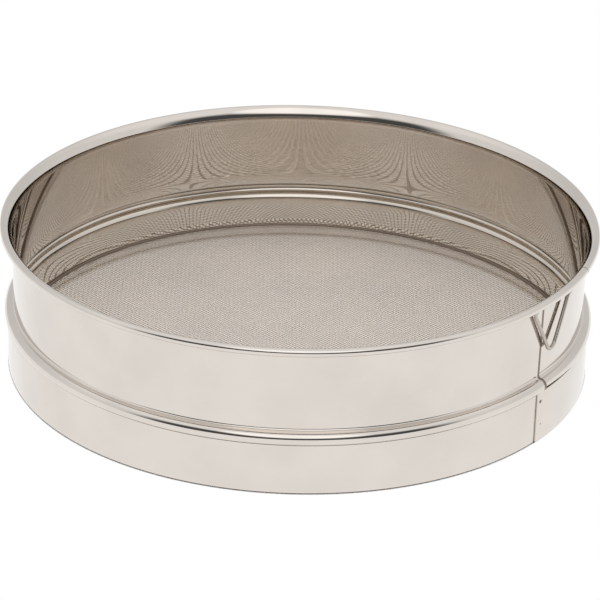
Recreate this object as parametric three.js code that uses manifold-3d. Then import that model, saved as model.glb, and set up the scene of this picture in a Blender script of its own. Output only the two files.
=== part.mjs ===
// A 12-inch stainless steel drum sieve: a drum with a wired rim and a rolled bead, a ring that clamps
// the woven cloth to the drum's foot, and a triangular loop of wire that hangs from the rim.
// Millimetres and degrees, +Z up. The origin is on the table, on the sieve's axis. The loop is at +X.
import * as THREE from "three";
import { mergeVertices } from "three/addons/utils/BufferGeometryUtils.js";
import Module from "manifold-3d";

const wasm = await Module();
wasm.setup();

// The whole sieve
const RIM_DIAMETER = 304.8;
const HEIGHT = 77.8;
const SHEET = 0.6;
const CLEARANCE = 0.3;

// The drum: a strip rolled up, with its edge flared and curled outwards over a wire, a wall that leans
// in below the curl, a bead that stands out from its waist, and a lip turned in along its foot
const RIM_WIRE = 2.4;
const CURL_LIP_ANGLE = -120;
const FLARE_ANGLE = 130;
const FLARE_RADIUS = 8;
const WALL_LEAN = 2.8;
const BEAD_DEPTH = 4.7;
const BEAD_HEIGHT = 29.1;
const BEAD_ROUND = 3.5;
const BEAD_UPPER_FILLET = 1.2;
const BEAD_LOWER_FILLET = 3.2;
const FOOT_ROUND = 1;
const FOOT_LIP = 2.5;
const DRUM_SEAM_ANGLE = -2.3;
const DRUM_LAP_ANGLE = 10;
const DRUM_WELDS = 3;
const CURL_JOINT_ANGLE = 14.7;
const COLLAR_DROP = 1;
const COLLAR_SLIT = 0.4;

// The clamp ring below the bead, whose outside lies a little further in than the bead's crest
const RING_SETBACK = 1.3;
const RING_SEAM_ANGLE = -4.9;
const RING_LAP_ANGLE = 8;
const RING_WELDS = 2;

// Both lap joints: the drum's inner end steps in under the outer one and comes out again by the joint
// of the curl, and the ring's outer end rides over the inner one and settles over some degrees
const LAP_GAP = 0.3;
const LAP_SETTLE_ANGLE = 24;
const JOINT_GAP_ANGLE = 0.15;
const WELD_DIAMETER = 4;
const WELD_SETBACK_ANGLE = 2.4;

// The cloth, drawn as a coarse net with its edge turned up between drum and ring
const CLOTH_HEIGHT = 5.7;
const CLOTH_THICKNESS = 0.8;
const CLOTH_TURN_UP = 2.6;
const CLOTH_BORDER = 4;
const NET_PITCH = 15;
const NET_BAR = 1.2;
const NET_SMALLEST_GAP = 0.25;
const WEAVE_ANGLE = -11.1;

// The hanging loop. Its wire is thinner than the rim wire, so that its bar turns in the curl. It is bent
// round the rim, and below the curl its legs are set in towards the wall.
const LOOP_PLAY = 0.4;
const LOOP_SETBACK = 0.2;
const LOOP_WIDTH = 39.8;
const LOOP_DROP = 32.4;
const LOOP_SET_IN = 2;
const LOOP_SET_IN_DROP = 7;
const LOOP_TOP_BEND = 3;
const LOOP_APEX_BEND = 4.2;
const LOOP_JOINT_GAP = 0.6;
const LOOP_SWING = 12;
const NOTCH_CLEARANCE = 0.4;
const WIRE_END_GAP = 1.2;

// How finely curves are divided
const STEP_ANGLE = 5;
const CURL_STEPS = 8;
const FLARE_STEPS = 2;
const CREST_STEPS = 6;
const FILLET_STEPS = 2;
const FOOT_STEPS = 3;
const WIRE_SIDES = 8;
const LOOP_STEPS = 44;

// Values that follow from the dimensions above
const rad = THREE.MathUtils.degToRad;
const deg = THREE.MathUtils.radToDeg;
const half = SHEET / 2;
const curlRadius = RIM_WIRE / 2 + CLEARANCE + half;
const curlR = RIM_DIAMETER / 2 - curlRadius - half;
const curlZ = HEIGHT - curlRadius - half;
const waist = curlR - curlRadius - WALL_LEAN;
const beadRadius = waist + half + BEAD_DEPTH;
const ringMiddle = beadRadius - RING_SETBACK - half;
const ringInside = ringMiddle - half;
const loopWire = RIM_WIRE - LOOP_PLAY;
const barRadius = curlR - LOOP_SETBACK;
const footRadius = ringInside - CLOTH_THICKNESS - 2 * CLEARANCE;
const footZ = CLOTH_HEIGHT + CLOTH_THICKNESS / 2 + CLEARANCE;
const lapLift = SHEET + LAP_GAP;

// Steel finishes
const polished = () => new THREE.MeshStandardMaterial({ color: 0xd6d2cc, metalness: 1, roughness: 0.16 });
const drawnWire = () => new THREE.MeshStandardMaterial({ color: 0xbfb8b0, metalness: 1, roughness: 0.3 });

// Solids for joining and cutting
function solidOf(geometry) {
  const bare = geometry.index ? geometry.toNonIndexed() : geometry.clone();
  bare.deleteAttribute("normal");
  bare.deleteAttribute("uv");
  const merged = mergeVertices(bare, 1e-4);
  const triVerts = new Uint32Array(merged.index.array);
  const vertProperties = merged.attributes.position.array;
  return new wasm.Manifold(new wasm.Mesh({ numProp: 3, vertProperties, triVerts }));
}

function geometryOf(solid) {
  const mesh = solid.getMesh();
  const geometry = new THREE.BufferGeometry();
  geometry.setAttribute("position", new THREE.BufferAttribute(mesh.vertProperties, 3));
  geometry.setIndex(new THREE.BufferAttribute(mesh.triVerts, 1));
  geometry.computeVertexNormals();
  return geometry;
}

// Points of an arc in the (r, z) half plane, from one angle to another
function arc(r, z, radius, from, to, steps) {
  return Array.from({ length: steps + 1 }, (_, i) => {
    const angle = rad(from + ((to - from) * i) / steps);
    return new THREE.Vector2(r + radius * Math.cos(angle), z + radius * Math.sin(angle));
  });
}

// One side of the bead: the round that leads into it, its height from the bead's middle and its turn
function beadSide(round) {
  const fillet = round + half;
  const reach = beadRadius - BEAD_ROUND - waist - fillet;
  const rise = Math.sqrt((BEAD_ROUND - half + fillet) ** 2 - reach ** 2);
  return { fillet, rise, turn: deg(Math.atan2(rise, reach)) };
}

// The middle line of the drum's section, from the lip of the curl down to the foot. Below the flare
// comes a collar, and then the place of the slit that parts it from the wall beside the seam.
function drumRows() {
  const [upper, lower] = [BEAD_UPPER_FILLET, BEAD_LOWER_FILLET].map(beadSide);
  const wallFoot = new THREE.Vector2(waist, BEAD_HEIGHT + upper.rise);

  // The wall leaves the flare along the tangent that ends at the bead
  const flareR = curlR + (curlRadius - FLARE_RADIUS) * Math.cos(rad(FLARE_ANGLE));
  const flareZ = curlZ + (curlRadius - FLARE_RADIUS) * Math.sin(rad(FLARE_ANGLE));
  const down = wallFoot.clone().sub(new THREE.Vector2(flareR, flareZ));
  const bearing = deg(Math.atan2(down.y, down.x)) + 360;
  const flareEnd = bearing - deg(Math.acos(FLARE_RADIUS / down.length()));
  const rim = [
    ...arc(curlR, curlZ, curlRadius, CURL_LIP_ANGLE, FLARE_ANGLE, CURL_STEPS),
    ...arc(flareR, flareZ, FLARE_RADIUS, FLARE_ANGLE, flareEnd, FLARE_STEPS).slice(1),
  ];
  const wallHead = rim.at(-1);
  const below = (drop) => wallHead.clone().lerp(wallFoot, drop / (wallHead.y - wallFoot.y));
  const slit = [below(COLLAR_DROP), below(COLLAR_DROP + COLLAR_SLIT)];

  const crest = [beadRadius - BEAD_ROUND, BEAD_HEIGHT, BEAD_ROUND - half];
  const bead = [
    ...arc(waist + upper.fillet, wallFoot.y, upper.fillet, 180, 360 - upper.turn, FILLET_STEPS),
    ...arc(...crest, 180 - upper.turn, lower.turn - 180, CREST_STEPS).slice(1),
    ...arc(waist + lower.fillet, BEAD_HEIGHT - lower.rise, lower.fillet, lower.turn, 180, FILLET_STEPS).slice(1),
  ];
  const footR = footRadius - half - FOOT_ROUND;
  const foot = arc(footR, footZ + half + FOOT_ROUND, FOOT_ROUND, 0, -90, FOOT_STEPS);
  return [...rim, ...slit, ...bead, ...foot, new THREE.Vector2(footR - FOOT_LIP, footZ + half)];
}

// The ring's section is a plain upright strip whose top meets the underside of the bead
function ringRows() {
  const over = ringInside - (beadRadius - BEAD_ROUND);
  const top = BEAD_HEIGHT - Math.sqrt(BEAD_ROUND ** 2 - over ** 2) - CLEARANCE;
  return [new THREE.Vector2(ringMiddle, top), new THREE.Vector2(ringMiddle, 0)];
}

// Angles from start to end, with the named ones among them and even steps between
function columns(start, end, named) {
  const marks = [start, ...named, end].sort((a, b) => a - b);
  const angles = [start];
  for (let i = 1; i < marks.length; i++) {
    const steps = Math.ceil((marks[i] - marks[i - 1]) / STEP_ANGLE);
    for (let k = 1; k <= steps; k++) angles.push(marks[i - 1] + ((marks[i] - marks[i - 1]) * k) / steps);
  }
  return angles;
}

// Normals of the middle line, on the side that faces out of the sieve at the wall
function rowNormals(rows) {
  return rows.map((_, j) => {
    const before = rows[Math.max(j - 1, 0)];
    const after = rows[Math.min(j + 1, rows.length - 1)];
    const along = after.clone().sub(before).normalize();
    return new THREE.Vector2(-along.y, along.x);
  });
}

// A strip of sheet bent round the axis. The blank's outline is given by keep(angle, row), which says
// for the middle of each cell of the blank if there is metal there.
function bentSheet(rows, angles, liftAt, keep) {
  const normals = rowNormals(rows);
  const position = [];
  for (const angle of angles) {
    rows.forEach((point, j) => {
      for (const side of [-half, half]) {
        const out = side + liftAt(angle);
        const r = point.x + normals[j].x * out;
        const z = point.y + normals[j].y * out;
        position.push(r * Math.cos(rad(angle)), r * Math.sin(rad(angle)), z);
      }
    });
  }
  const id = (i, j, side) => (i * rows.length + j) * 2 + side;
  const has = (i, j) => {
    if (i < 0 || j < 0 || i > angles.length - 2 || j > rows.length - 2) return false;
    return keep((angles[i] + angles[i + 1]) / 2, j);
  };
  const index = [];
  const quad = (a, b, c, d) => index.push(a, b, c, a, c, d);
  for (let i = 0; i < angles.length - 1; i++) {
    for (let j = 0; j < rows.length - 1; j++) {
      if (!has(i, j)) continue;
      const [near, far] = [i, i + 1];
      const [high, low] = [j, j + 1];
      quad(id(near, high, 1), id(near, low, 1), id(far, low, 1), id(far, high, 1));
      quad(id(near, high, 0), id(far, high, 0), id(far, low, 0), id(near, low, 0));
      if (!has(i - 1, j)) quad(id(near, high, 0), id(near, low, 0), id(near, low, 1), id(near, high, 1));
      if (!has(i + 1, j)) quad(id(far, high, 0), id(far, high, 1), id(far, low, 1), id(far, low, 0));
      if (!has(i, j - 1)) quad(id(near, high, 0), id(near, high, 1), id(far, high, 1), id(far, high, 0));
      if (!has(i, j + 1)) quad(id(near, low, 0), id(far, low, 0), id(far, low, 1), id(near, low, 1));
    }
  }
  const geometry = new THREE.BufferGeometry();
  geometry.setAttribute("position", new THREE.Float32BufferAttribute(position, 3));
  geometry.setIndex(index);
  return geometry;
}

// A lap's outer end stands off by the sheet below it and settles to nothing further on
function outerLap(lapEnd) {
  return (angle) => lapLift * (1 - THREE.MathUtils.smoothstep(angle, lapEnd, lapEnd + LAP_SETTLE_ANGLE));
}

// A lap's inner end is stepped in by the sheet above it as far as the seam, and comes out by an angle
function innerLap(seam, out) {
  return (angle) => -lapLift * (1 - THREE.MathUtils.smoothstep(angle, seam, out));
}

// Weld nuggets across a lap, evenly spaced between two points of the inner sheet's middle line, each
// from the middle of one sheet to the middle of the other
function weldNuggets(count, low, high, angle) {
  return Array.from({ length: count }, (_, i) => {
    const at = low.clone().lerp(high, (i + 0.5) / count);
    const geometry = new THREE.CylinderGeometry(WELD_DIAMETER / 2, WELD_DIAMETER / 2, lapLift, 12);
    geometry.rotateZ(Math.PI / 2);
    geometry.translate(at.x + lapLift / 2, 0, at.y);
    geometry.rotateZ(rad(angle));
    return solidOf(geometry);
  });
}

// The loop's corners across and up from the middle of its bar, and how each is bent
function loopCorners() {
  return [
    { at: new THREE.Vector2(LOOP_WIDTH / 2, 0), bend: LOOP_TOP_BEND },
    { at: new THREE.Vector2(0, -LOOP_DROP), bend: LOOP_APEX_BEND },
    { at: new THREE.Vector2(-LOOP_WIDTH / 2, 0), bend: LOOP_TOP_BEND },
  ];
}

// One bend of the loop: where it starts and ends, and its centre
function loopBend(index) {
  const corners = loopCorners();
  const { at, bend } = corners[index];
  const before = corners[(index + 2) % 3].at.clone().sub(at).normalize();
  const after = corners[(index + 1) % 3].at.clone().sub(at).normalize();
  const opening = Math.acos(before.dot(after));
  const reach = bend / Math.tan(opening / 2);
  const centre = before.clone().add(after).setLength(bend / Math.sin(opening / 2)).add(at);
  const start = at.clone().addScaledVector(before, reach);
  const end = at.clone().addScaledVector(after, reach);
  return { bend, centre, start, end };
}

// Where the loop's two legs leave the curl: the span of each along the rim, as angles
function notchSpans() {
  const ends = [loopBend(0).start.x, loopBend(2).end.x];
  const angle = (across) => deg(across / barRadius);
  return ends.map((end) => {
    const from = Math.abs(end) - NOTCH_CLEARANCE;
    const to = Math.abs(end) + LOOP_TOP_BEND + loopWire / 2 + NOTCH_CLEARANCE;
    return { from: Math.sign(end) * angle(from), to: Math.sign(end) * angle(to) };
  });
}

// The drum, as one strip with its ends lapped and welded. The outer end's curl and collar run on past
// the seam to the joint of the curl.
function drum() {
  const rows = drumRows();
  const start = DRUM_SEAM_ANGLE - DRUM_LAP_ANGLE;
  const seam = DRUM_SEAM_ANGLE + 360;
  const joint = DRUM_SEAM_ANGLE + CURL_JOINT_ANGLE;
  const curlStart = joint + JOINT_GAP_ANGLE;
  const spans = notchSpans();
  const notchEdges = spans.flatMap(({ from, to }) => [from + 360, to + 360]);
  const angles = columns(start, joint + 360, [DRUM_SEAM_ANGLE, joint, curlStart, ...notchEdges, seam]);

  // Past the seam there is only what lies above the slit, and before the joint only what lies below it
  const slitRow = CURL_STEPS + FLARE_STEPS + 1;
  const notchTop = LOOP_SWING + deg(Math.asin((loopWire / 2 + NOTCH_CLEARANCE) / curlRadius)) - 90;
  const inNotch = (angle) => spans.some(({ from, to }) => (angle - 360 - from) * (angle - 360 - to) < 0);
  const rowAngle = (j) => deg(Math.atan2(rows[j].y - curlZ, rows[j].x - curlR));
  const keep = (angle, j) => {
    if (angle < curlStart) return j > slitRow;
    if (angle > seam && j >= slitRow) return false;
    return !(inNotch(angle) && j < CURL_STEPS && rowAngle(j) < notchTop);
  };
  const strip = solidOf(bentSheet(rows, angles, innerLap(DRUM_SEAM_ANGLE, joint), keep));
  const inner = (point) => new THREE.Vector2(point.x - lapLift, point.y);
  const wall = rows.slice(slitRow + 1, slitRow + 3).map(inner);
  const welds = weldNuggets(DRUM_WELDS, ...wall, DRUM_SEAM_ANGLE - WELD_SETBACK_ANGLE);
  return geometryOf(welds.reduce((whole, weld) => whole.add(weld), strip));
}

// The clamp ring, with its ends lapped and welded
function clampRing() {
  const rows = ringRows();
  const lapEnd = RING_SEAM_ANGLE + RING_LAP_ANGLE;
  const angles = columns(RING_SEAM_ANGLE, lapEnd + 360, [lapEnd]);
  const strip = solidOf(bentSheet(rows, angles, outerLap(lapEnd), () => true));
  const welds = weldNuggets(RING_WELDS, ...rows, RING_SEAM_ANGLE + WELD_SETBACK_ANGLE);
  return geometryOf(welds.reduce((whole, weld) => whole.add(weld), strip));
}

// The cloth: a net of bars, with a border that turns up round the drum's foot
function meshCloth() {
  const outside = ringInside - CLEARANCE;
  const sides = Math.round(360 / STEP_ANGLE);
  const disc = (radius, thickness) => {
    const geometry = new THREE.CylinderGeometry(radius, radius, thickness, sides);
    geometry.rotateX(Math.PI / 2);
    geometry.translate(0, 0, CLOTH_HEIGHT);
    return solidOf(geometry);
  };
  const open = NET_PITCH - NET_BAR;
  const depth = 3 * CLOTH_THICKNESS;
  const field = disc(footRadius - CLOTH_BORDER, depth);
  const count = Math.ceil(footRadius / NET_PITCH);
  const gaps = [];
  for (let i = -count; i <= count; i++) {
    for (let j = -count; j <= count; j++) {
      const box = new THREE.BoxGeometry(open, open, depth);
      box.translate(i * NET_PITCH, j * NET_PITCH, CLOTH_HEIGHT);
      box.rotateZ(rad(WEAVE_ANGLE));
      const gap = solidOf(box).intersect(field);
      if (gap.volume() > NET_SMALLEST_GAP * open * open * depth) gaps.push(gap);
    }
  }
  const net = wasm.Manifold.difference([disc(outside, CLOTH_THICKNESS), ...gaps]);

  const low = CLOTH_HEIGHT - CLOTH_THICKNESS / 2;
  const high = low + CLOTH_TURN_UP;
  const inside = outside - CLOTH_THICKNESS;
  const corners = [[inside, low], [outside, low], [outside, high], [inside, high], [inside, low]];
  const border = new THREE.LatheGeometry(corners.map(([r, z]) => new THREE.Vector2(r, z)), sides);
  border.rotateX(Math.PI / 2);
  return geometryOf(net.add(solidOf(border)));
}

// A round wire along a path with two ends
function wireAlong(path, diameter, steps) {
  const section = new THREE.Shape();
  section.absarc(0, 0, diameter / 2, 0, 2 * Math.PI, false);
  const shape = { steps, extrudePath: path, curveSegments: WIRE_SIDES / 2, bevelEnabled: false };
  return new THREE.ExtrudeGeometry(section, shape);
}

// A circle round the axis, from one angle to another
class RimCurve extends THREE.Curve {
  constructor(from, to) {
    super();
    Object.assign(this, { from, to });
  }

  getPoint(t) {
    const angle = rad(this.from + (this.to - this.from) * t);
    return new THREE.Vector3(curlR * Math.cos(angle), curlR * Math.sin(angle), curlZ);
  }
}

// A flat path that hangs from the rim, set in towards the wall and bent round the axis
class HungCurve extends THREE.Curve {
  constructor(flat) {
    super();
    this.flat = flat;
  }

  getPoint(t) {
    const { x, y } = this.flat.getPoint(t);
    const r = barRadius - LOOP_SET_IN * THREE.MathUtils.smoothstep(-y, 0, LOOP_SET_IN_DROP);
    const angle = x / barRadius;
    return new THREE.Vector3(r * Math.cos(angle), r * Math.sin(angle), curlZ + y);
  }
}

// The wire inside the curl, open where the loop's bar takes its place
function rimWire() {
  const [right, left] = notchSpans();
  const gap = deg(WIRE_END_GAP / curlR);
  const [from, to] = [right.to + gap, left.to - gap + 360];
  return wireAlong(new RimCurve(from, to), RIM_WIRE, Math.round((to - from) / STEP_ANGLE));
}

// The loop's wire starts and ends at a gap in the middle of its bar
function hangingLoop() {
  const flat = new THREE.Path();
  flat.moveTo(LOOP_JOINT_GAP / 2, 0);
  for (let index = 0; index < 3; index++) {
    const { bend, centre, start, end } = loopBend(index);
    const [from, to] = [start, end].map((point) => point.clone().sub(centre).angle());
    flat.absarc(centre.x, centre.y, bend, from, to, true);
  }
  flat.lineTo(-LOOP_JOINT_GAP / 2, 0);
  return wireAlong(new HungCurve(flat), loopWire, LOOP_STEPS);
}

// The sieve
const sieve = new THREE.Group();
function addPiece(name, geometry, material) {
  const mesh = new THREE.Mesh(geometry, material);
  mesh.name = name;
  sieve.add(mesh);
}
addPiece("drum", drum(), polished());
addPiece("clamp_ring", clampRing(), polished());
addPiece("mesh_cloth", meshCloth(), drawnWire());
addPiece("rim_wire", rimWire(), drawnWire());
addPiece("hanging_loop", hangingLoop(), drawnWire());

export default sieve;
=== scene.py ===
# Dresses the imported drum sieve: fine rolled sheet, woven wire cloth, a round wire loop, polished steel,
# and a pale studio. Lengths are named in millimetres and angles in degrees; meshes are made in metres.
import math

import bpy
import numpy as np
from mathutils import Matrix, Vector


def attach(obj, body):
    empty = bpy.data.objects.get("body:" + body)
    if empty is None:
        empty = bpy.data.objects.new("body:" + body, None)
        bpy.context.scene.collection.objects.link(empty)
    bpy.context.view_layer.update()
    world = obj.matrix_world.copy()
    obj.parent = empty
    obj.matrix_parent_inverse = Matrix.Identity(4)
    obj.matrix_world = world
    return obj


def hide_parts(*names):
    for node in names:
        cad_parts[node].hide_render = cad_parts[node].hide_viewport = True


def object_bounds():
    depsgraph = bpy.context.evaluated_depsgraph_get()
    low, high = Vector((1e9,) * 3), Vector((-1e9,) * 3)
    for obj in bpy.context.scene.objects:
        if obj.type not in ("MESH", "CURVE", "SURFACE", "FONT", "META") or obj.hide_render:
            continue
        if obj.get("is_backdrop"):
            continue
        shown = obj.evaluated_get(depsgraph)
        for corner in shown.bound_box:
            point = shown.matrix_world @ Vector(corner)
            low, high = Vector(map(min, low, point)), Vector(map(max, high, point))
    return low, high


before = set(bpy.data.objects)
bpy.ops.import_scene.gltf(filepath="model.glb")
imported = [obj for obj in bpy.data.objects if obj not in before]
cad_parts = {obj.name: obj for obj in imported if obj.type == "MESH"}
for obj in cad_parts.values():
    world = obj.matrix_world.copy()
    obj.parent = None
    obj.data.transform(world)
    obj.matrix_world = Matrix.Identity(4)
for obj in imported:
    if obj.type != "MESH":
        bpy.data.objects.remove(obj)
cad_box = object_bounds()

MM = 0.001

# The sheet pieces, as in the solids
RIM_RADIUS = 152.4
HEIGHT = 77.8
SHEET = 0.6
CLEARANCE = 0.3
RIM_WIRE = 2.4
CURL_LIP_ANGLE = -120
FLARE_ANGLE = 130
FLARE_RADIUS = 8
WALL_LEAN = 2.8
BEAD_DEPTH = 4.7
BEAD_HEIGHT = 29.1
BEAD_ROUND = 3.5
BEAD_UPPER_FILLET = 1.2
BEAD_LOWER_FILLET = 3.2
FOOT_ROUND = 1
DRUM_SEAM_ANGLE = -2.3
DRUM_LAP_ANGLE = 10
CURL_JOINT_ANGLE = 14.7
COLLAR_DROP = 1
COLLAR_SLIT = 0.4
RING_SETBACK = 1.3
RING_SEAM_ANGLE = -4.9
RING_LAP_ANGLE = 8
LAP_SETTLE_ANGLE = 24
JOINT_GAP_ANGLE = 0.15

# What the solids leave out or do otherwise: laps pressed tight, a shorter lip at the foot, the ring's
# slanted top that follows the bead, its hem turned in, and how far painted shade reaches along the seam's
# edge and up the ring's bottom edge
LAP_GAP = 0.15
FOOT_LIP = 1.2
RING_GAP = 0.04
RING_TOP_SLANT = 33
RING_TOP_RISE = 1.3
RING_HEM = 0.7
RING_SHADE_HEIGHT = 0.7
SEAM_SHADE_ANGLE = 0.7

# The marks of the ring's welds: the angle, the height and the radius of each
WELD_MARKS = [(-3.9, 22.3, 1.0), (-3.4, 9.4, 0.35)]

# The cloth: 16 wires to the inch, woven over and under, at a slant to the loop. The rise is a crossing's
# height above the cloth's middle, in diameters of the wire.
CLOTH_HEIGHT = 5.7
CLOTH_THICKNESS = 0.8
WIRE_PITCH = 25.4 / 16
WIRE_DIAMETER = 0.4
WIRE_SIDES = 5
WEAVE_RISE = 0.52
WEAVE_ANGLE = -11.1
CLOTH_PIECES = 4

# The loop, bent round the rim and set in towards the wall below it
LOOP_PLAY = 0.4
LOOP_SETBACK = 0.2
LOOP_WIDTH = 39.8
LOOP_DROP = 32.4
LOOP_TOP_BEND = 3
LOOP_APEX_BEND = 4.2
LOOP_JOINT_GAP = 0.6
LOOP_SET_IN = 2.0
LOOP_SET_IN_DROP = 7
LOOP_SWING = 12
NOTCH_CLEARANCE = 0.4

# How finely the sheet and the loop are divided, and the angle past which an edge stays sharp
COLUMN_ANGLE = 1.0
CURL_STEPS = 26
FLARE_STEPS = 8
COLLAR_STEPS = 2
CREST_STEPS = 20
FILLET_STEPS = 7
WALL_STEPS = 8
HOOP_STEPS = 5
FOOT_STEPS = 6
LIP_STEPS = 2
RING_STEPS = 6
LOOP_SIDES = 20
LOOP_STEP = 0.8
LOOP_BEND_FINENESS = 2
LOOP_BAR_STEPS = 12
SHARP_ANGLE = 40
WIRE_SHARP_ANGLE = 80

# The finish of the steel: smudges that shade it and change its gloss, and the scale of its grain
SMUDGE_SCALE = 28
SMUDGE_DETAIL = 4
SMUDGE_BAND = (0.3, 0.6)
SMUDGE_SHADE = 0.93
GLOSS_SPREAD = (0.8, 1.25)
GRAIN_DETAIL = 3
GRAIN_DEPTH = 0.4
ROLLED_GRAIN = (30, 30, 900)
CLOTH_GRAIN = (400, 400, 400)
FINE_GRAIN = (300, 300, 300)

# The studio: a white floor, a light above the camera, and a room that is white overhead, a little darker
# low down and nearly black behind the camera. A band is the cosines between which a light fades.
FLOOR_FRONT = 2000
FLOOR_REACH = 6000
FLOOR_LIGHT = 1.05
FLOOR_WHITE = 0.97
UNDER_GLOW = 0.5
UNDER_FADE = 4
SHADOW_EDGE = 0.3
ROOM_LIGHT = 0.95
BACK_LIGHT = 0.8
BACK_BAND = (-0.9, 0.0)
KEY_LIGHT = 1.3
KEY_ELEVATION = 50
KEY_BAND = (0.84, 0.96)
LOW_BAND = (0.75, 0.45)
SIDE_DARK = 0.12
FRONT_DARK = 0.92
FRONT_BAND = (0.35, 0.65)

# The photograph's view: a camera fitted to the outlines, and its frame of 600 by 600 pixels
VIEW_DISTANCE = 1500
VIEW_TARGET_HEIGHT = 39
VIEW_AZIMUTH = -56.7
VIEW_ELEVATION = 25.459
VIEW_ROLL = 1.408
FRAME_PIXELS = 600
FOCAL_PIXELS = 2915.46
CENTRE_PIXELS = (298.592, 284.82)
SENSOR_WIDTH = 36

# Values that follow
half = SHEET / 2
curl_radius = RIM_WIRE / 2 + CLEARANCE + half
curl_r = RIM_RADIUS - curl_radius - half
curl_z = HEIGHT - curl_radius - half
waist = curl_r - curl_radius - WALL_LEAN
bead_radius = waist + half + BEAD_DEPTH
ring_middle = bead_radius - RING_SETBACK - half
ring_inside = ring_middle - half
foot_radius = ring_inside - CLOTH_THICKNESS - 2 * CLEARANCE
foot_z = CLOTH_HEIGHT + CLOTH_THICKNESS / 2 + CLEARANCE
lap_lift = SHEET + LAP_GAP
loop_wire = RIM_WIRE - LOOP_PLAY
bar_radius = curl_r - LOOP_SETBACK
slit_row = CURL_STEPS + FLARE_STEPS + COLLAR_STEPS


# Shapes in the half plane of radius and height
def arc(r, z, radius, start, end, steps):
    """Points of an arc."""
    angles = np.radians(np.linspace(start, end, steps + 1))
    return np.column_stack((r + radius * np.cos(angles), z + radius * np.sin(angles)))


def line(start, end, steps):
    """Points of a straight run, without its first one."""
    share = np.linspace(0, 1, steps + 1)[1:, None]
    return np.asarray(start) * (1 - share) + np.asarray(end) * share


def smooth(low, high, value):
    """0 below low, 1 above high, and smooth between."""
    t = np.clip((np.asarray(value, float) - low) / (high - low), 0, 1)
    return t * t * (3 - 2 * t)


def bead_side(lead_in):
    """A side of the bead: the round that leads into it, how far it is from the middle, and its turn."""
    fillet = lead_in + half
    reach = bead_radius - BEAD_ROUND - waist - fillet
    rise = math.sqrt((BEAD_ROUND - half + fillet) ** 2 - reach**2)
    return fillet, rise, math.degrees(math.atan2(rise, reach))


def drum_section():
    """The drum's middle line, from the lip of the curl down to the foot."""
    upper, upper_rise, upper_turn = bead_side(BEAD_UPPER_FILLET)
    lower, lower_rise, lower_turn = bead_side(BEAD_LOWER_FILLET)
    wall_foot = np.array((waist, BEAD_HEIGHT + upper_rise))

    # The wall leaves the flare along the tangent that ends at the bead
    flare_r = curl_r + (curl_radius - FLARE_RADIUS) * math.cos(math.radians(FLARE_ANGLE))
    flare_z = curl_z + (curl_radius - FLARE_RADIUS) * math.sin(math.radians(FLARE_ANGLE))
    down = wall_foot - (flare_r, flare_z)
    bearing = math.degrees(math.atan2(down[1], down[0])) + 360
    flare_end = bearing - math.degrees(math.acos(FLARE_RADIUS / np.hypot(*down)))
    flare = arc(flare_r, flare_z, FLARE_RADIUS, FLARE_ANGLE, flare_end, FLARE_STEPS)
    wall_head = flare[-1]

    # The slit that parts the collar from the wall beside the seam
    slope = (wall_foot - wall_head) / (wall_head[1] - wall_foot[1])
    slit_top = wall_head + slope * COLLAR_DROP
    slit_foot = slit_top + slope * COLLAR_SLIT

    crest_r = bead_radius - BEAD_ROUND
    hoop_head = (waist, BEAD_HEIGHT - lower_rise)
    foot_r = foot_radius - half - FOOT_ROUND
    foot = arc(foot_r, foot_z + half + FOOT_ROUND, FOOT_ROUND, 0, -90, FOOT_STEPS)
    return np.vstack((
        arc(curl_r, curl_z, curl_radius, CURL_LIP_ANGLE, FLARE_ANGLE, CURL_STEPS),
        flare[1:],
        line(wall_head, slit_top, COLLAR_STEPS),
        slit_foot,
        line(slit_foot, wall_foot, WALL_STEPS),
        arc(waist + upper, wall_foot[1], upper, 180, 360 - upper_turn, FILLET_STEPS)[1:],
        arc(crest_r, BEAD_HEIGHT, BEAD_ROUND - half, 180 - upper_turn, lower_turn - 180, CREST_STEPS)[1:],
        arc(waist + lower, hoop_head[1], lower, lower_turn, 180, FILLET_STEPS)[1:],
        line(hoop_head, foot[0], HOOP_STEPS),
        foot[1:],
        line(foot[-1], (foot_r - FOOT_LIP, foot_z + half), LIP_STEPS),
    ))


def section_normals(points):
    """Normals of a middle line, on the side that faces out of the sieve at the wall."""
    along = np.gradient(points, axis=0)
    along /= np.linalg.norm(along, axis=1)[:, None]
    return np.column_stack((-along[:, 1], along[:, 0]))


# Sheets bent round the axis
def columns(start, end, named):
    """Angles from start to end with the named ones among them and even steps between."""
    marks = sorted([start, *named, end])
    angles = [start]
    for low, high in zip(marks, marks[1:]):
        steps = math.ceil((high - low) / COLUMN_ANGLE)
        angles += list(np.linspace(low, high, steps + 1)[1:])
    return np.array(angles)


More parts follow.
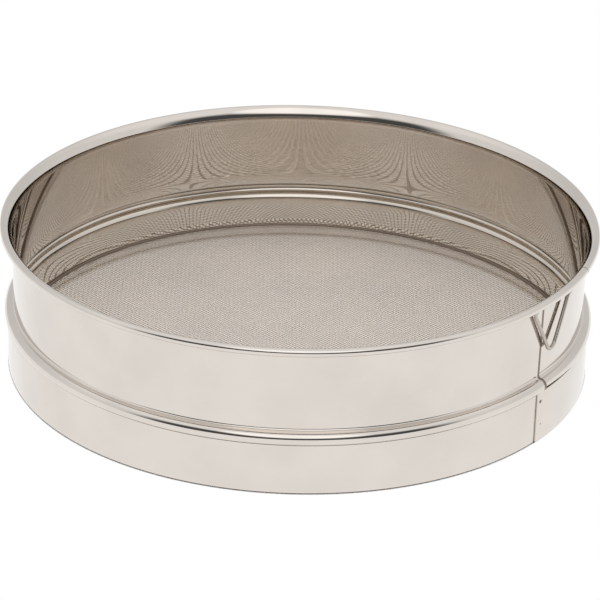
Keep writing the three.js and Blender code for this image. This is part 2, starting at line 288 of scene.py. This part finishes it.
def bent_sheet(points, angles, lift, keep):
    """Vertices and faces of a strip bent round the axis. keep(angle, row) says where it has metal."""
    normals = section_normals(points)
    out = lift(angles)[:, None, None] + np.array((-half, half))
    r = points[None, :, None, 0] + normals[None, :, None, 0] * out
    z = points[None, :, None, 1] + normals[None, :, None, 1] * out
    turn = np.radians(angles)[:, None, None]
    vertices = np.stack((r * np.cos(turn), r * np.sin(turn), z), axis=-1).reshape(-1, 3)

    rows = len(points)
    middles = (angles[:-1] + angles[1:]) / 2
    metal = np.zeros((len(middles) + 2, rows + 1), bool)
    for j in range(rows - 1):
        metal[1:-1, j + 1] = keep(middles, j)

    def vertex(i, j, side):
        return (i * rows + j) * 2 + side

    # The two skins, and a side wherever the metal ends
    faces = []
    for i, j in zip(*np.nonzero(metal[1:-1, 1:-1])):
        faces.append((vertex(i, j, 1), vertex(i, j + 1, 1), vertex(i + 1, j + 1, 1), vertex(i + 1, j, 1)))
        faces.append((vertex(i, j, 0), vertex(i + 1, j, 0), vertex(i + 1, j + 1, 0), vertex(i, j + 1, 0)))
        if not metal[i, j + 1]:
            faces.append((vertex(i, j, 0), vertex(i, j + 1, 0), vertex(i, j + 1, 1), vertex(i, j, 1)))
        if not metal[i + 2, j + 1]:
            faces.append((vertex(i + 1, j, 0), vertex(i + 1, j, 1),
                          vertex(i + 1, j + 1, 1), vertex(i + 1, j + 1, 0)))
        if not metal[i + 1, j]:
            faces.append((vertex(i, j, 0), vertex(i, j, 1), vertex(i + 1, j, 1), vertex(i + 1, j, 0)))
        if not metal[i + 1, j + 2]:
            faces.append((vertex(i, j + 1, 0), vertex(i + 1, j + 1, 0),
                          vertex(i + 1, j + 1, 1), vertex(i, j + 1, 1)))
    return vertices, faces


def outer_lap(lap_end):
    """A lap's outer end stands off by the sheet below it and settles to nothing further on."""
    return lambda angle: lap_lift * (1 - smooth(lap_end, lap_end + LAP_SETTLE_ANGLE, angle))


def inner_lap(seam, out):
    """A lap's inner end is stepped in by the sheet over it up to the seam, and out again at an angle."""
    return lambda angle: -lap_lift * (1 - smooth(seam, out, angle))


# Pieces
def make_piece(name, vertices, faces, material, sharp_angle):
    """A mesh object in metres without unused vertices, smooth but for edges sharper than an angle."""
    used = np.unique(np.concatenate([np.asarray(face) for face in faces]))
    renumber = np.full(len(vertices), -1)
    renumber[used] = np.arange(len(used))
    mesh = bpy.data.meshes.new(name)
    mesh.from_pydata((np.asarray(vertices)[used] * MM).tolist(), [],
                     [renumber[list(face)].tolist() for face in faces])
    mesh.polygons.foreach_set("use_smooth", [True] * len(mesh.polygons))
    mesh.set_sharp_from_angle(angle=math.radians(sharp_angle))
    mesh.materials.append(material)
    mesh.update()
    piece = bpy.data.objects.new(name, mesh)
    bpy.context.scene.collection.objects.link(piece)
    return piece


def dress(piece, body, node):
    """The piece rides on a body and stands in for a node, whose part it hides."""
    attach(piece, body)
    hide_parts(node)


# Materials
def steel(name, colour, roughness, grain, relief):
    """Polished steel with faint smudges and rolling grain. grain is the noise scale along each axis."""
    material = bpy.data.materials.new(name)
    material.use_nodes = True
    nodes = material.node_tree.nodes
    links = material.node_tree.links
    shader = nodes["Principled BSDF"]
    shader.inputs["Metallic"].default_value = 1.0

    place = nodes.new("ShaderNodeTexCoord")
    smudge = nodes.new("ShaderNodeTexNoise")
    smudge.inputs["Scale"].default_value = SMUDGE_SCALE
    smudge.inputs["Detail"].default_value = SMUDGE_DETAIL
    links.new(place.outputs["Object"], smudge.inputs["Vector"])

    tint = nodes.new("ShaderNodeValToRGB")
    tint.color_ramp.elements[0].position = SMUDGE_BAND[0]
    tint.color_ramp.elements[0].color = (*[c * SMUDGE_SHADE for c in colour], 1)
    tint.color_ramp.elements[1].position = SMUDGE_BAND[1]
    tint.color_ramp.elements[1].color = (*colour, 1)
    links.new(smudge.outputs["Fac"], tint.inputs["Fac"])
    links.new(tint.outputs["Color"], shader.inputs["Base Color"])

    gloss = nodes.new("ShaderNodeMapRange")
    gloss.inputs["To Min"].default_value = roughness * GLOSS_SPREAD[0]
    gloss.inputs["To Max"].default_value = roughness * GLOSS_SPREAD[1]
    links.new(smudge.outputs["Fac"], gloss.inputs["Value"])
    links.new(gloss.outputs["Result"], shader.inputs["Roughness"])

    stretch = nodes.new("ShaderNodeMapping")
    stretch.inputs["Scale"].default_value = grain
    links.new(place.outputs["Object"], stretch.inputs["Vector"])
    lines = nodes.new("ShaderNodeTexNoise")
    lines.inputs["Scale"].default_value = 1.0
    lines.inputs["Detail"].default_value = GRAIN_DETAIL
    links.new(stretch.outputs["Vector"], lines.inputs["Vector"])
    bump = nodes.new("ShaderNodeBump")
    bump.inputs["Strength"].default_value = relief
    bump.inputs["Distance"].default_value = GRAIN_DEPTH * MM
    links.new(lines.outputs["Fac"], bump.inputs["Height"])
    links.new(bump.outputs["Normal"], shader.inputs["Normal"])
    return material


sheet_steel = steel("sheet_steel", (0.74, 0.69, 0.64), roughness=0.03, grain=ROLLED_GRAIN, relief=0.006)
wire_steel = steel("wire_steel", (0.74, 0.65, 0.56), roughness=0.40, grain=CLOTH_GRAIN, relief=0.03)
loop_steel = steel("loop_steel", (0.56, 0.51, 0.46), roughness=0.30, grain=FINE_GRAIN, relief=0.01)
# A dark steel: painted shade along the seam's edge, on the foot's lip and on the ring's bottom edge, and
# also the colour of the weld marks
shade_and_weld_steel = steel("shade_and_weld_steel", (0.27, 0.22, 0.18), roughness=0.40, grain=FINE_GRAIN, relief=0.01)
# The drum's inside below the slit: a darker copy of the sheet steel, painted shade
shaded_inside_steel = steel("shaded_inside_steel", (0.67, 0.615, 0.55), roughness=0.018, grain=ROLLED_GRAIN, relief=0.004)


# The loop's bends, and the notches in the curl for its legs
def loop_bends():
    """For each bend: its radius, centre, start and end, across and up from the middle of the bar."""
    corners = np.array(((LOOP_WIDTH / 2, 0), (0, -LOOP_DROP), (-LOOP_WIDTH / 2, 0)))
    bends = []
    for index, radius in enumerate((LOOP_TOP_BEND, LOOP_APEX_BEND, LOOP_TOP_BEND)):
        at = corners[index]
        before = corners[index - 1] - at
        after = corners[(index + 1) % 3] - at
        before /= np.linalg.norm(before)
        after /= np.linalg.norm(after)
        middle = (before + after) / np.linalg.norm(before + after)
        slant = math.acos(before @ after) / 2
        reach = radius / math.tan(slant)
        centre = at + middle * radius / math.sin(slant)
        bends.append((radius, centre, at + before * reach, at + after * reach))
    return bends


def notch_spans():
    """The span along the rim where each leg leaves the curl, as angles."""
    bends = loop_bends()
    spans = []
    for end in (bends[0][2][0], bends[2][3][0]):
        near = abs(end) - NOTCH_CLEARANCE
        far = abs(end) + LOOP_TOP_BEND + loop_wire / 2 + NOTCH_CLEARANCE
        sides = [math.degrees(math.copysign(across, end) / bar_radius) for across in (near, far)]
        spans.append(sorted(sides))
    return spans


# The drum
def paint_drum_shade(piece, slit_z):
    """Painted shade: the outside just before the seam and the foot's lip take a dark steel, and the inside
    below the slit takes a darker copy of the sheet steel.
    """
    finishes = piece.data.materials
    finishes.append(shade_and_weld_steel)
    finishes.append(shaded_inside_steel)
    lip_z = (foot_z + half + FOOT_ROUND) * MM
    for polygon in piece.data.polygons:
        x, y, z = polygon.center
        before_seam = DRUM_SEAM_ANGLE - math.degrees(math.atan2(y, x))
        outside = polygon.normal.x * x + polygon.normal.y * y > 0
        # Outside faces just before the seam get painted shade, standing in for the shadow of the lap's edge
        on_seam = outside and z < slit_z and 0 < before_seam < SEAM_SHADE_ANGLE
        # The foot's lip faces that look up get painted shade, the dark band where the hoop meets the cloth
        on_lip = z < lip_z and polygon.normal.z > 0
        if on_seam or on_lip:
            polygon.material_index = finishes.find(shade_and_weld_steel.name)
        # The inside below the slit gets the darker copy of the sheet steel, painted shade
        elif z < slit_z and not outside:
            polygon.material_index = finishes.find(shaded_inside_steel.name)


def make_drum():
    points = drum_section()
    joint = DRUM_SEAM_ANGLE + CURL_JOINT_ANGLE
    curl_start = joint + JOINT_GAP_ANGLE
    seam = DRUM_SEAM_ANGLE + 360
    spans = notch_spans()
    edges = [angle + 360 for span in spans for angle in span]
    named = [DRUM_SEAM_ANGLE, joint, curl_start, *edges, seam - SEAM_SHADE_ANGLE, seam]
    angles = columns(DRUM_SEAM_ANGLE - DRUM_LAP_ANGLE, joint + 360, named)
    reach = math.degrees(math.asin((loop_wire / 2 + NOTCH_CLEARANCE) / curl_radius))
    notch_top = LOOP_SWING + reach - 90
    around = np.degrees(np.arctan2(points[:, 1] - curl_z, points[:, 0] - curl_r))

    def keep(middle, row):
        """The lap's inner end has no curl, its outer end stops at the seam, and the legs have notches."""
        notched = np.zeros(len(middle), bool)
        if row < CURL_STEPS and around[row] < notch_top:
            for low, high in spans:
                notched |= (middle - 360 > low) & (middle - 360 < high)
        past_seam = (middle > seam) & (row >= slit_row)
        return np.where(middle < curl_start, row > slit_row, ~notched & ~past_seam)

    vertices, faces = bent_sheet(points, angles, inner_lap(DRUM_SEAM_ANGLE, joint), keep)
    piece = make_piece("drum_sheet", vertices, faces, sheet_steel, SHARP_ANGLE)
    paint_drum_shade(piece, points[slit_row][1] * MM)
    dress(piece, "sieve", "drum")


# The clamp ring
def make_ring():
    over = ring_middle - (bead_radius - BEAD_ROUND)
    top = BEAD_HEIGHT - math.sqrt((BEAD_ROUND + RING_GAP) ** 2 - over**2)
    slant = math.tan(math.radians(RING_TOP_SLANT))
    crown = (ring_middle - RING_GAP * slant, top)
    shoulder = (ring_middle, top - RING_GAP)
    hem = arc(ring_middle - RING_HEM, RING_HEM + half, RING_HEM, 0, -90, FOOT_STEPS)
    points = np.vstack((crown, shoulder, line(shoulder, hem[0], RING_STEPS), hem[1:]))
    lap_end = RING_SEAM_ANGLE + RING_LAP_ANGLE
    angles = columns(RING_SEAM_ANGLE, lap_end + 360, [lap_end])
    vertices, faces = bent_sheet(points, angles, np.zeros_like, lambda middle, row: True)

    # The lap's outer end stands off along the radius, and its top rises with it
    lift = outer_lap(lap_end)
    raised = lift(angles)[:, None, None]
    grid = vertices.reshape(len(angles), len(points), 2, 3)
    grid[..., :2] *= 1 + raised[..., None] / ring_middle
    grid[:, :2, :, 2] += RING_TOP_RISE * raised

    piece = make_piece("ring_sheet", vertices, faces, sheet_steel, SHARP_ANGLE)
    finishes = piece.data.materials
    finishes.append(shade_and_weld_steel)
    # The ring's faces just above the floor get painted shade, a contact shadow along its bottom edge
    for polygon in piece.data.polygons:
        if polygon.center.z < RING_SHADE_HEIGHT * MM:
            polygon.material_index = finishes.find(shade_and_weld_steel.name)
    dress(piece, "sieve", "clamp_ring")


# Wires
def sweep(path, radius, sides, phase):
    """Vertices and faces of a tube with flat ends along a path. Its first corner points to the phase."""
    path = np.asarray(path, float)
    along = np.gradient(path, axis=0)
    along /= np.linalg.norm(along, axis=1)[:, None]
    up = np.array(phase, float)
    u = up - along * (along @ up)[:, None]
    u /= np.linalg.norm(u, axis=1)[:, None]
    v = np.cross(along, u)
    angles = np.arange(sides) * 2 * math.pi / sides
    ring = u[:, None] * np.cos(angles)[None, :, None] + v[:, None] * np.sin(angles)[None, :, None]
    vertices = (path[:, None] + radius * ring).reshape(-1, 3)
    i = np.arange(len(path) - 1)[:, None] * sides
    k = np.arange(sides)[None, :]
    after = (k + 1) % sides
    quads = np.stack((i + k, i + after, i + sides + after, i + sides + k), axis=-1).reshape(-1, 4)
    last = (len(path) - 1) * sides
    caps = [list(range(sides))[::-1], list(range(last, last + sides))]
    return vertices, [tuple(face) for face in quads.tolist()] + [tuple(cap) for cap in caps]


def join(parts):
    """Several lists of vertices and faces as one."""
    vertices = []
    faces = []
    count = 0
    for points, polygons in parts:
        vertices.append(points)
        faces += [tuple(k + count for k in polygon) for polygon in polygons]
        count += len(points)
    return np.vstack(vertices), faces


# The weld marks, thin discs on the outer end of the ring's lap
def make_weld_marks():
    marks = []
    for angle, height, radius in WELD_MARKS:
        turn = math.radians(angle)
        out = np.array((math.cos(turn), math.sin(turn), 0))
        skin = out * (ring_middle + half + lap_lift) + (0, 0, height)
        marks.append(sweep([skin - out * half, skin + out * RING_GAP], radius, LOOP_SIDES, (0, 0, 1)))
    vertices, faces = join(marks)
    piece = make_piece("weld_marks", vertices, faces, shade_and_weld_steel, SHARP_ANGLE)
    dress(piece, "sieve", "clamp_ring")


# The cloth
def cloth_wire(index, crosswise, reach):
    """One wire of the weave, over and under the ones it crosses, out to the cloth's edge."""
    offset = index * WIRE_PITCH
    length = math.sqrt(reach**2 - offset**2)
    last = int(length // WIRE_PITCH)
    crossings = np.arange(-last, last + 1)
    side = np.where((crossings + index) % 2 == 0, 1, -1) * (-1 if crosswise else 1)
    along = np.concatenate(([-length], crossings * WIRE_PITCH, [length]))
    height = CLOTH_HEIGHT + np.concatenate(([0], side, [0])) * WIRE_DIAMETER * WEAVE_RISE
    across = np.full(len(along), offset)
    flat = (across, along) if crosswise else (along, across)
    turn = math.radians(WEAVE_ANGLE)
    x = flat[0] * math.cos(turn) - flat[1] * math.sin(turn)
    y = flat[0] * math.sin(turn) + flat[1] * math.cos(turn)
    return sweep(np.column_stack((x, y, height)), WIRE_DIAMETER / 2, WIRE_SIDES, (0, 0, 1))


def make_cloth():
    reach = ring_inside - CLEARANCE
    count = int(reach // WIRE_PITCH)
    wires = [(k, crosswise) for crosswise in (False, True) for k in range(-count, count + 1)]
    size = math.ceil(len(wires) / CLOTH_PIECES)
    for number in range(CLOTH_PIECES):
        share = wires[number * size:(number + 1) * size]
        vertices, faces = join([cloth_wire(k, crosswise, reach) for k, crosswise in share])
        piece = make_piece(f"cloth_wires_{number + 1}", vertices, faces, wire_steel, WIRE_SHARP_ANGLE)
        dress(piece, "sieve", "mesh_cloth")


# The loop
def loop_path():
    """Points along the loop's wire, from one side of the gap in its bar round to the other."""
    runs = [np.array([(LOOP_JOINT_GAP / 2, 0)])]
    for radius, centre, start, end in loop_bends():
        first, last = (math.degrees(math.atan2(*(point - centre)[::-1])) for point in (start, end))
        turn = (first - last) % 360
        steps = math.ceil(math.radians(turn) * radius / LOOP_STEP * LOOP_BEND_FINENESS)
        curve = arc(*centre, radius, first, first - turn, steps)
        gap = np.linalg.norm(start - runs[-1][-1])
        runs.append(line(runs[-1][-1], start, math.ceil(gap / LOOP_STEP)))
        runs.append(curve[1:])
    runs.append(line(runs[-1][-1], (-LOOP_JOINT_GAP / 2, 0), LOOP_BAR_STEPS))
    return np.vstack(runs)


def make_loop():
    across, up = loop_path().T
    r = bar_radius - LOOP_SET_IN * smooth(0, LOOP_SET_IN_DROP, -up)
    angle = across / bar_radius
    path = np.column_stack((r * np.cos(angle), r * np.sin(angle), curl_z + up))
    vertices, faces = sweep(path, loop_wire / 2, LOOP_SIDES, (1, 0, 0))
    piece = make_piece("loop_wire", vertices, faces, loop_steel, SHARP_ANGLE)
    dress(piece, "loop", "hanging_loop")


# The studio
def view_direction(azimuth, elevation):
    """The unit vector towards an azimuth and an elevation."""
    a = math.radians(azimuth)
    e = math.radians(elevation)
    return Vector((math.cos(a) * math.cos(e), math.sin(a) * math.cos(e), math.sin(e)))


class Wiring:
    """Short calls for the nodes of one tree."""

    def __init__(self, tree):
        self.nodes = tree.nodes
        self.links = tree.links

    def math(self, operation, *values):
        """The result of an operation on numbers or sockets."""
        node = self.nodes.new("ShaderNodeMath")
        node.operation = operation
        for socket, value in zip(node.inputs, values):
            if isinstance(value, (int, float)):
                socket.default_value = value
            else:
                self.links.new(value, socket)
        return node.outputs[0]

    def ramp(self, value, low, high, start=0.0, end=1.0):
        """A smooth step from start to end as the value goes from low to high."""
        node = self.nodes.new("ShaderNodeMapRange")
        node.interpolation_type = "SMOOTHSTEP"
        for name, number in zip(("From Min", "From Max", "To Min", "To Max"), (low, high, start, end)):
            node.inputs[name].default_value = number
        self.links.new(value, node.inputs["Value"])
        return node.outputs["Result"]

    def along(self, vector, direction):
        """How far a vector goes along a direction."""
        node = self.nodes.new("ShaderNodeVectorMath")
        node.operation = "DOT_PRODUCT"
        self.links.new(vector, node.inputs[0])
        node.inputs[1].default_value = direction
        return node.outputs["Value"]

    def choose(self, ray, otherwise, value):
        """A value for one kind of ray, and a socket for the others."""
        node = self.nodes.new("ShaderNodeMix")
        self.links.new(ray, node.inputs["Factor"])
        self.links.new(otherwise, node.inputs["A"])
        node.inputs["B"].default_value = value
        return node.outputs["Result"]


def floor_white():
    """White round the sieve, in its shadow under the ring, and dimmed under the cloth."""
    material = bpy.data.materials.new("floor_white")
    material.use_nodes = True
    wiring = Wiring(material.node_tree)
    nodes = wiring.nodes
    links = wiring.links
    nodes.remove(nodes["Principled BSDF"])
    diffuse = nodes.new("ShaderNodeBsdfDiffuse")
    diffuse.inputs["Color"].default_value = (FLOOR_WHITE, FLOOR_WHITE, FLOOR_WHITE, 1)
    glow = nodes.new("ShaderNodeEmission")

    place = nodes.new("ShaderNodeTexCoord")
    distance = nodes.new("ShaderNodeVectorMath")
    distance.operation = "LENGTH"
    links.new(place.outputs["Object"], distance.inputs[0])
    ring_foot = (ring_middle - RING_HEM) * MM
    ring_outside = (ring_middle + half) * MM
    under = wiring.ramp(distance.outputs["Value"], ring_foot - UNDER_FADE * MM, ring_foot, UNDER_GLOW, 0.0)
    beyond = wiring.ramp(distance.outputs["Value"], ring_outside, ring_outside + SHADOW_EDGE * MM)
    path = nodes.new("ShaderNodeLightPath")
    seen = wiring.math("MAXIMUM", path.outputs["Is Camera Ray"], path.outputs["Is Glossy Ray"])
    seen = wiring.math("MAXIMUM", seen, path.outputs["Is Transmission Ray"])
    mix = nodes.new("ShaderNodeMixShader")
    links.new(wiring.math("MULTIPLY", seen, wiring.math("MAXIMUM", under, beyond)), mix.inputs["Fac"])
    links.new(diffuse.outputs[0], mix.inputs[1])
    links.new(glow.outputs[0], mix.inputs[2])
    links.new(mix.outputs[0], nodes["Material Output"].inputs["Surface"])
    return material


def make_floor():
    front = view_direction(VIEW_AZIMUTH, 0)
    side = view_direction(VIEW_AZIMUTH + 90, 0)
    corners = [(FLOOR_FRONT, -1), (FLOOR_FRONT, 1), (-FLOOR_REACH, 1), (-FLOOR_REACH, -1)]
    places = [(front * ahead + side * FLOOR_REACH * across) * MM for ahead, across in corners]
    mesh = bpy.data.meshes.new("floor")
    mesh.from_pydata(places, [], [(0, 1, 2, 3)])
    mesh.materials.append(floor_white())
    floor = bpy.data.objects.new("floor", mesh)
    bpy.context.scene.collection.objects.link(floor)
    floor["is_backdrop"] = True


def make_world():
    world = bpy.data.worlds.new("studio")
    bpy.context.scene.world = world
    world.use_nodes = True
    wiring = Wiring(world.node_tree)
    nodes = wiring.nodes
    ray = nodes.new("ShaderNodeTexCoord").outputs["Generated"]
    ahead = wiring.along(ray, view_direction(VIEW_AZIMUTH, 0))
    low = wiring.ramp(wiring.along(ray, (0, 0, 1)), *LOW_BAND)
    key = wiring.ramp(wiring.along(ray, view_direction(VIEW_AZIMUTH, KEY_ELEVATION)), *KEY_BAND)
    room = wiring.ramp(ahead, *BACK_BAND, BACK_LIGHT, ROOM_LIGHT)
    dark = wiring.math("MULTIPLY", low, wiring.ramp(ahead, *FRONT_BAND, SIDE_DARK, FRONT_DARK))
    lit = wiring.math("MULTIPLY", room, wiring.math("SUBTRACT", 1.0, dark))
    lit = wiring.math("MAXIMUM", lit, wiring.math("MULTIPLY", key, KEY_LIGHT))
    path = nodes.new("ShaderNodeLightPath")
    lit = wiring.choose(path.outputs["Is Diffuse Ray"], lit, FLOOR_LIGHT)
    lit = wiring.choose(path.outputs["Is Camera Ray"], lit, 1.0)
    wiring.links.new(lit, nodes["Background"].inputs["Strength"])
    nodes["Background"].inputs["Color"].default_value = (1, 1, 1, 1)


def make_camera():
    data = bpy.data.cameras.new("camera")
    data.sensor_width = SENSOR_WIDTH
    data.lens = FOCAL_PIXELS / FRAME_PIXELS * SENSOR_WIDTH
    data.shift_x = (FRAME_PIXELS / 2 - CENTRE_PIXELS[0]) / FRAME_PIXELS
    data.shift_y = (CENTRE_PIXELS[1] - FRAME_PIXELS / 2) / FRAME_PIXELS
    camera = bpy.data.objects.new("camera", data)
    bpy.context.scene.collection.objects.link(camera)
    towards = view_direction(VIEW_AZIMUTH, VIEW_ELEVATION)
    target = Vector((0, 0, VIEW_TARGET_HEIGHT * MM))
    turn = towards.to_track_quat("Z", "Y").to_matrix().to_4x4()
    roll = Matrix.Rotation(math.radians(VIEW_ROLL), 4, "Z")
    camera.matrix_world = Matrix.Translation(target + towards * VIEW_DISTANCE * MM) @ turn @ roll
    bpy.context.scene.camera = camera


make_drum()
make_ring()
make_weld_marks()
make_cloth()
make_loop()
rim_wire_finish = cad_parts["rim_wire"].data.materials
rim_wire_finish.clear()
rim_wire_finish.append(wire_steel)

make_floor()
make_world()
make_camera()
bpy.context.scene.view_settings.view_transform = "Standard"

boxes = {"cad": cad_box, "visual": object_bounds()}
{name: [list(corner) for corner in box] for name, box in boxes.items()}
